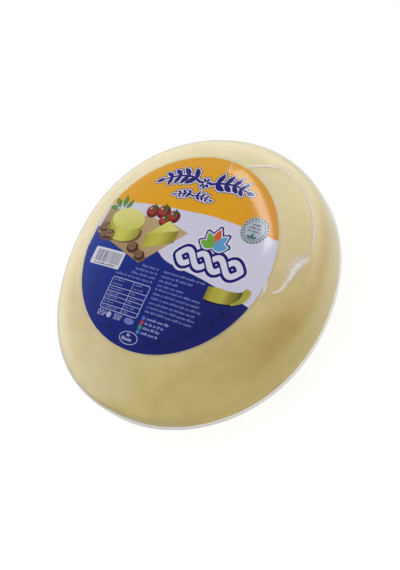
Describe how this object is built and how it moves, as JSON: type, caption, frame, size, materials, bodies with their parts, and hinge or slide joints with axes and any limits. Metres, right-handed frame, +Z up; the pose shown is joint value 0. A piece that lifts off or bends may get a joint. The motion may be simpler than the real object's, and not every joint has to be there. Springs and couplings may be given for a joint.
{
  "type": "kashkaval cheese wheel",
  "caption": "Whole round wheel of kashkaval cheese with a full rounded side, sealed in clear shrink film, with a round printed paper label on its crown.",
  "frame": {"origin": "centre of the wheel on the flat foot that it rests on", "axes": "+Z up through the crown, the shortest way; +X the way that the label is read; +Y towards the top of the label"},
  "size_m": [0.1216, 0.127, 0.0446],
  "materials": {
    "filmed_cheese": "pale yellow pressed cheese seen through clear glossy film drawn tight over it",
    "cheese": "smooth pale yellow pressed curd, slightly translucent, with faint creamy mottling",
    "clear_film": "clear glossy shrink film with soft ridges where it gathers",
    "printed_paper": "coated white paper printed in gold, navy blue and pale lilac white"
  },
  "bodies": {
    "root": {"wrapped_wheel": "filmed_cheese", "label": "printed_paper"}
  },
  "joints": []
}
